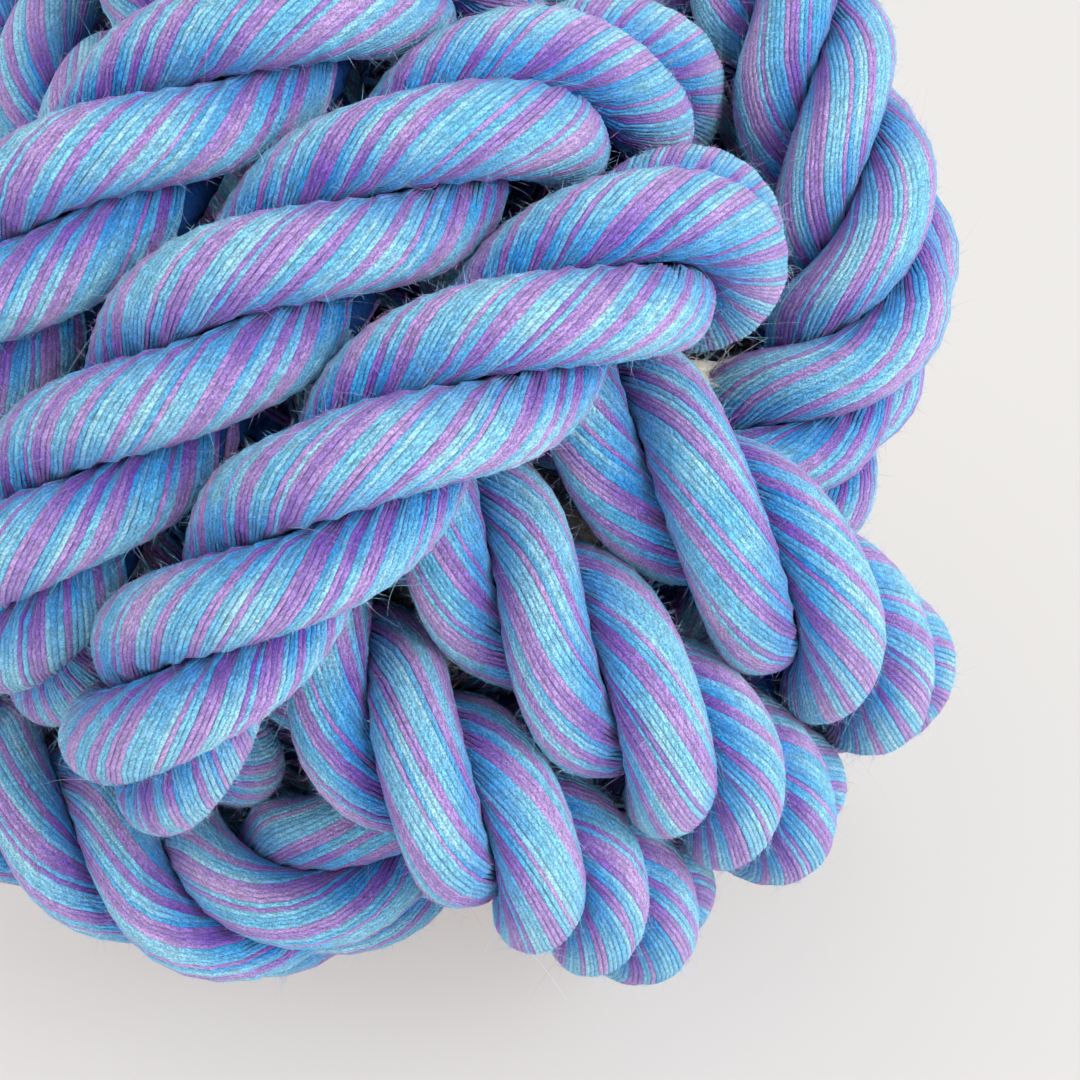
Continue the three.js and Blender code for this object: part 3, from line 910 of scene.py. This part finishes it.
def whipping_points(start):
    """A helix round the rope's axis, one twine's thickness further for each turn."""
    turns = WHIPPING / TWINE - 1
    angle = np.linspace(0, 2 * np.pi * turns, round(TURN_POINTS * turns))
    place = start + TWINE / 2 + TWINE * angle / (2 * np.pi)
    axis, normal, binormal = (
        np.stack([np.interp(place, along, table[:, k]) for k in range(3)], axis=1)
        for table in (centres, normals, binormals)
    )
    out = unit(normal * np.cos(angle)[:, None] + binormal * np.sin(angle)[:, None])
    lines = axis + (ROPE / 2 + TWINE_GAP + TWINE / 2) * out
    sideways = np.cross(unit(np.gradient(lines, axis=0)), out)
    half = np.full(len(lines), TWINE / 2 * TWINE_FULLNESS)
    angles = np.linspace(0, 2 * np.pi, TWINE_SIDES, endpoint=False)
    return tubes_round(lines, sideways, out, half, half, angles)[None]


twine_cotton = plain_cotton("twine_cotton", linear(206, 200, 186), linear(244, 240, 230), 2500)
for name, start in (("start", END), ("end", rope_length - END - WHIPPING)):
    piece = tube_piece(f"{name}_whipping_twine", whipping_points(start), twine_cotton)
    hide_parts(f"{name}_whipping")

# %% [markdown]
# ## Fuzz
#
# Fine fibres stand out of soft cotton: a short nap all over, and longer hairs here and there. They catch the
# light along every edge and cross the dark creases. A particle system would do it, but the finished part has
# to hold them as meshes. A particle system would do it, but here they are meshes: each hair of the nap is a
# spike of four triangles, and each longer one is a thin tube of three sides that bends and narrows. The core
# has cream tufts where it peeps out.

# %% Hairs
HAIR_ANGLES = np.radians([90, 210, 330])
NAP_RISE = (0.05, 0.75)  # how steeply a hair leaves the surface, least and most
HAIR_BEND = 0.7  # as a share of its length
HAIR_TAPER = 0.67  # share of its thickness that it loses to its tip
ASKEW = 0.01  # keeps a cross product from vanishing
SPIKE_PLACE = np.array([[0.1, 0.1], [0.9, 0.1], [0.5, 0.9]])  # a triangle in its square for baking
TRIES = 3  # hairs tried for each hair that is kept
ROOT_HEIGHT = 0.8  # of a root, as a share of the yarn's height
CLEAR_OF_AXIS = 7.2  # a hair whose tip is nearer to the rope's axis is inside it


def axis_distance(points):
    """Distance of each point from the nearest of many points on the rope's axis."""
    squares = np.sum(even_axis**2, axis=1) - 2 * points @ even_axis.T
    return np.sqrt(squares.min(axis=1) + np.sum(points**2, axis=1))


def hair_points(roots, out, lengths, rings, thickness, rise=NAP_RISE):
    """Each hair is a bent line: root + length · (d · t + c · t² + e · t³) for t from 0 to 1, where d rises a
    little out of the surface, and c and e are random bends. It narrows to a third at its tip."""
    count = len(roots)
    flat = unit(across(rng.normal(0, 1, (count, 3)), out))
    way = unit(flat + out * rng.uniform(*rise, (count, 1)))[:, None]
    bend = rng.normal(0, HAIR_BEND, (count, 1, 3))
    curl = rng.normal(0, HAIR_BEND, (count, 1, 3))
    t = np.linspace(0, 1, rings)[None, :, None]
    lines = roots[:, None] + lengths[:, None, None] * (way * t + bend * t**2 + curl * t**3)
    heading = unit(way + 2 * bend * t + 3 * curl * t**2)
    side = unit(np.cross(heading, out[:, None] + ASKEW))
    half = thickness / 2 * (1 - HAIR_TAPER * t[..., 0]) * np.ones((count, 1))
    return lines, tubes_round(lines, side, np.cross(side, heading), half, half, HAIR_ANGLES)


def spike_piece(name, lines, thickness, finish):
    """Straight hairs as spikes of four triangles: three sides from a small triangle at the root to the tip.
    Each triangle has its own square in the layout for baking."""
    roots, tips = lines[:, 0], lines[:, -1]
    way = unit(tips - roots)
    side = unit(np.cross(way, way[:, [1, 2, 0]] + ASKEW))[:, None]
    other = np.cross(way, side[:, 0])[:, None]
    ring = thickness / 2 * (side * np.cos(HAIR_ANGLES)[:, None] + other * np.sin(HAIR_ANGLES)[:, None])
    points = np.concatenate([roots[:, None] + ring, tips[:, None]], axis=1).reshape(-1, 3)
    spike = np.array([[0, 1, 3], [1, 2, 3], [2, 0, 3], [2, 1, 0]])
    faces = spike + 4 * np.arange(len(roots))[:, None, None]
    number = np.arange(4 * len(roots))
    row = int(np.ceil(np.sqrt(len(number))))
    square = np.stack([number % row, number // row], axis=1)[:, None]
    maps = {"OFBake": ((square + SPIKE_PLACE) / row).reshape(-1, 2)}
    return mesh_piece(name, points, faces.ravel(), 3 * number, maps, {}, finish)


def fuzz(name, shades, wanted, finish, shortest, longest, rings, thickness):
    """Hairs at random places on the yarns of these shades that show. Hairs of two rings are spikes."""
    chosen = [np.isin(order, shades)[:, None] & strand["seen"] for strand, order in zip(strands, orders)]
    lines, out, ways, height = (
        np.concatenate([strand[key][some] for strand, some in zip(strands, chosen)])
        for key in ("lines", "out", "ways", "height")
    )
    roots = lines + out * height[:, None] * ROOT_HEIGHT
    tried = TRIES * wanted
    picked = rng.choice(len(roots), tried)
    roots = roots[picked] + ways[picked] * rng.uniform(-RING / 2, RING / 2, (tried, 1))
    lengths = shortest * (longest / shortest) ** rng.random(tried)
    lines, points = hair_points(roots, out[picked], lengths, rings, thickness)
    above = lines[..., 2].min(axis=1) > thickness
    free = np.nonzero((axis_distance(lines[:, -1]) > CLEAR_OF_AXIS) & above)[0][:wanted]
    if rings == 2:
        piece = spike_piece(name, lines[free], thickness, finish)
    else:
        piece = tube_piece(name, points[free], finish)


def hair_cotton(name, colour):
    """A single pale fibre: matt, with a little light in it."""
    return Finish(name, Roughness=0.8, Base_Color=colour, Sheen_Weight=0.3).material


blue_hair = hair_cotton("blue_lint", linear(156, 212, 238))
purple_hair = hair_cotton("purple_lint", linear(200, 168, 220))
NAP = {"shortest": 0.3, "longest": 0.9, "rings": 2, "thickness": 0.04}
LONG_HAIRS = {"shortest": 0.7, "longest": 2.8, "rings": 6, "thickness": 0.032}
fuzz("blue_nap", BLUES, 48000, blue_hair, **NAP)
fuzz("purple_nap", PURPLES, 34000, purple_hair, **NAP)
fuzz("blue_hairs", BLUES, 3000, blue_hair, **LONG_HAIRS)
fuzz("purple_hairs", PURPLES, 2000, purple_hair, **LONG_HAIRS)

# %% Tufts of the core
TUFT_HAIRS = 3600
TUFT_FROM = 37.5  # distance from the middle beyond which they stand
TUFT_RISE = (0.4, 2.5)  # tufts stand up more than the nap
TUFT_LENGTH, TUFT_RINGS, TUFT_THICKNESS = (0.5, 2.0), 5, 0.06
TUFT_FLOOR = 0.1  # least height above the floor
surface = core_surface.reshape(-1, 3)
from_middle = surface - core_middle
far = np.nonzero(norm(from_middle, axis=1) > TUFT_FROM)[0]
picked = rng.choice(far, TUFT_HAIRS)
lengths = rng.uniform(*TUFT_LENGTH, TUFT_HAIRS)
roots, out = surface[picked], unit(from_middle[picked])
lines, points = hair_points(roots, out, lengths, TUFT_RINGS, TUFT_THICKNESS, TUFT_RISE)
points = points[lines[..., 2].min(axis=1) > TUFT_FLOOR]
piece = tube_piece("core_tufts", points, hair_cotton("cream_lint", linear(226, 218, 200)))

# %% [markdown]
# ## Floor and light
#
# A pale floor and soft light from all round, with a large lamp above and to the right, as from a window. To
# the camera the floor gives off part of its own paleness, so that the ball's shadow on it stays as faint as
# in a bright room with pale walls.

# %% Stage
FLOOR = linear(220, 213, 209)  # the paleness that it gives off
FLOOR_GLOW = 0.72  # share of the floor's look that no shadow reaches
bpy.ops.mesh.primitive_plane_add(size=4)
floor = bpy.context.object
floor.name = "floor"
floor_finish = Finish("floor_paint", Roughness=0.8, Base_Color=linear(235, 238, 235))
glow = floor_finish.node("Emission", 0, {"Color": FLOOR})
rays = ("Is Camera Ray", "Is Glossy Ray", "Is Transmission Ray")
looked_at = sum(floor_finish.node("LightPath", ray) for ray in rays)
mixed = floor_finish.node("MixShader", 0, {0: looked_at * FLOOR_GLOW, 2: glow})
links = floor_finish.tree.links
links.new(floor_finish.surface.outputs[0], mixed.socket.node.inputs[1])
links.new(mixed.socket, floor_finish.tree.nodes["Material Output"].inputs["Surface"])
floor.data.materials.append(floor_finish.material)


def lamp(name, place, size, watts):
    """A square lamp that faces the ball, with its place and size in metres."""
    light = bpy.data.objects.new(name, bpy.data.lights.new(name, "AREA"))
    light.data.size = size
    light.data.energy = watts
    toward = unit(np.array(place) - MM * BALL_MIDDLE)
    right = unit(np.cross([0, 0, 1], toward))
    put(light, np.stack([right, np.cross(toward, right), toward], axis=1), place)


lamp("window", (0.95, -0.55, 0.72), size=0.8, watts=14)
lamp("room_side", (-0.7, -0.6, 0.5), size=0.8, watts=1.2)
world = bpy.data.worlds.new("room")
world.use_nodes = True
walls = world.node_tree.nodes["Background"].inputs
walls["Color"].default_value = linear(245, 247, 250)
walls["Strength"].default_value = 1.22
scene.world = world
scene.view_settings.view_transform = "Standard"
print("stage: a floor, two lamps and pale walls")
